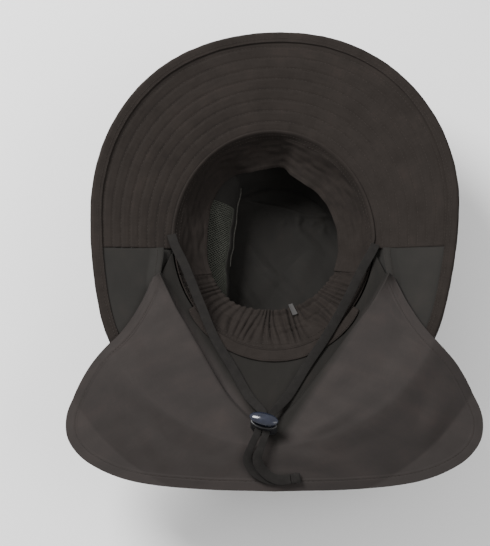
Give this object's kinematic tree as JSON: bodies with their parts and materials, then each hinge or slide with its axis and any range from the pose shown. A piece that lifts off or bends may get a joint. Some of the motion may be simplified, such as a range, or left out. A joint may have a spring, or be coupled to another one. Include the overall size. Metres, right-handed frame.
{
  "type": "flap sun hat",
  "caption": "Wide-brimmed cloth sun hat with a neck flap, net vents, sweatband and a chin strap with a cord lock, resting on its crown.",
  "frame": {"origin": "centre of the crown tip's flat outer face, where the upturned hat rests", "axes": "+Z from the crown tip out through the head opening, +Y towards the front of the brim, +X towards the wearer's left when worn"},
  "size_m": [0.3485, 0.411, 0.142],
  "materials": {
    "brim_cloth": "matt woven cotton, brown charcoal, stitched in rows",
    "smooth_cloth": "fine smooth poplin, charcoal",
    "vent_net": "fine knitted net",
    "strap_tape": "flat woven tape",
    "tab_cloth": "plain grey woven tab",
    "lock_body": "moulded black",
    "lock_head": "glossy dark navy"
  },
  "bodies": {
    "hat": {"crown_wall": "smooth_cloth", "crown_tip": "smooth_cloth", "vent_net_left": "vent_net", "vent_net_right": "vent_net", "brim_front": "brim_cloth", "rear_brim_shell": "smooth_cloth", "rear_brim_lining": "smooth_cloth", "brim_binding": "brim_cloth", "sweatband_front": "brim_cloth", "sweatband_rear": "brim_cloth", "size_tab": "tab_cloth", "neck_flap": "smooth_cloth", "flap_seam_tape": "brim_cloth", "chin_strap_left": "strap_tape", "chin_strap_right": "strap_tape", "strap_end": "strap_tape", "cord_lock_barrel": "lock_body"},
    "lock_plunger": {"cord_lock_plunger": "lock_head"}
  },
  "joints": [
    {"name": "lock_press", "type": "slide", "parent": "hat", "child": "lock_plunger", "axis": [0, -0.3556, -0.9347], "range_m": [0, 0.0025], "stiffness_N_per_m": 300, "springref_m": -0.002}
  ]
}
